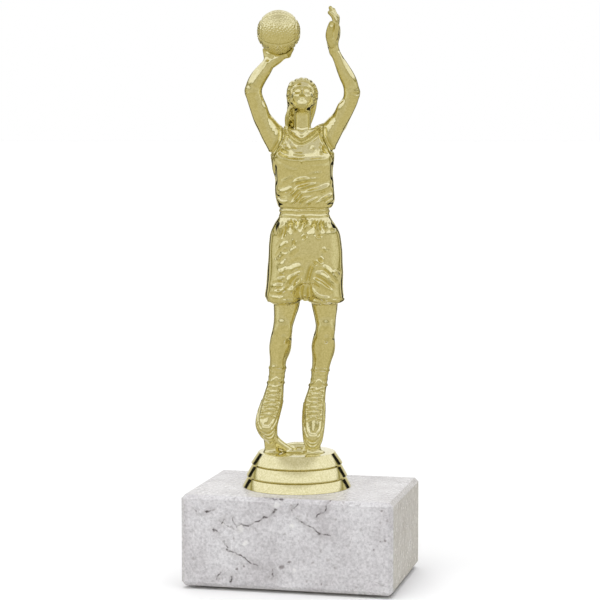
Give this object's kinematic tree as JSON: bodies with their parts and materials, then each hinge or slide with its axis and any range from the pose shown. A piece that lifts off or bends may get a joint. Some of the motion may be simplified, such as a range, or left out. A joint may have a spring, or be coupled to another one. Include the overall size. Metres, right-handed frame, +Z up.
{
  "type": "basketball trophy",
  "caption": "Gold metallised plastic basketball player taking a jump shot, on a three-tier round foot bolted to a bevelled marble block.",
  "frame": {"origin": "centre of the plane the trophy stands on, under the middle of the marble block", "axes": "+Z up along the bolt, -Y out of the block's front face, +X to the viewer's right when looking at that face"},
  "size_m": [0.07, 0.05, 0.1888],
  "materials": {
    "marble": "polished white marble with fine grey veins",
    "gold": "vacuum-metallised champagne gold under clear lacquer, mirror bright",
    "fastener": "zinc plated",
    "pad": "matt self-adhesive foam rubber"
  },
  "bodies": {
    "base": {"marble_block": "marble", "pad_front_left": "pad", "pad_front_right": "pad", "pad_rear_left": "pad", "pad_rear_right": "pad"},
    "figure": {"round_foot": "gold", "moulded_bolt": "fastener", "player_front_shell": "gold", "player_rear_shell": "gold", "shooting_arm": "gold", "guide_arm": "gold", "ball_front_half": "gold", "ball_rear_half": "gold"},
    "washers": {"flat_washer": "fastener", "spring_washer": "fastener"},
    "nut": {"hex_nut": "fastener"}
  },
  "joints": [
    {"name": "figure_turn", "type": "hinge", "parent": "base", "child": "figure", "pos_m": [-0.002, 0, 0.031], "axis": [0, 0, 1], "continuous": true},
    {"name": "washer_drop", "type": "slide", "parent": "figure", "child": "washers", "axis": [0, 0, -1], "range_m": [0, 0.003]},
    {"name": "nut_turn", "type": "hinge", "parent": "washers", "child": "nut", "pos_m": [-0.002, 0, 0.0085], "axis": [0, 0, -1], "range_deg": [0, 1350.5]}
  ],
  "couplings": [
    {"joint": "nut_turn", "follows": "washer_drop", "rad_per_m": 7854}
  ]
}
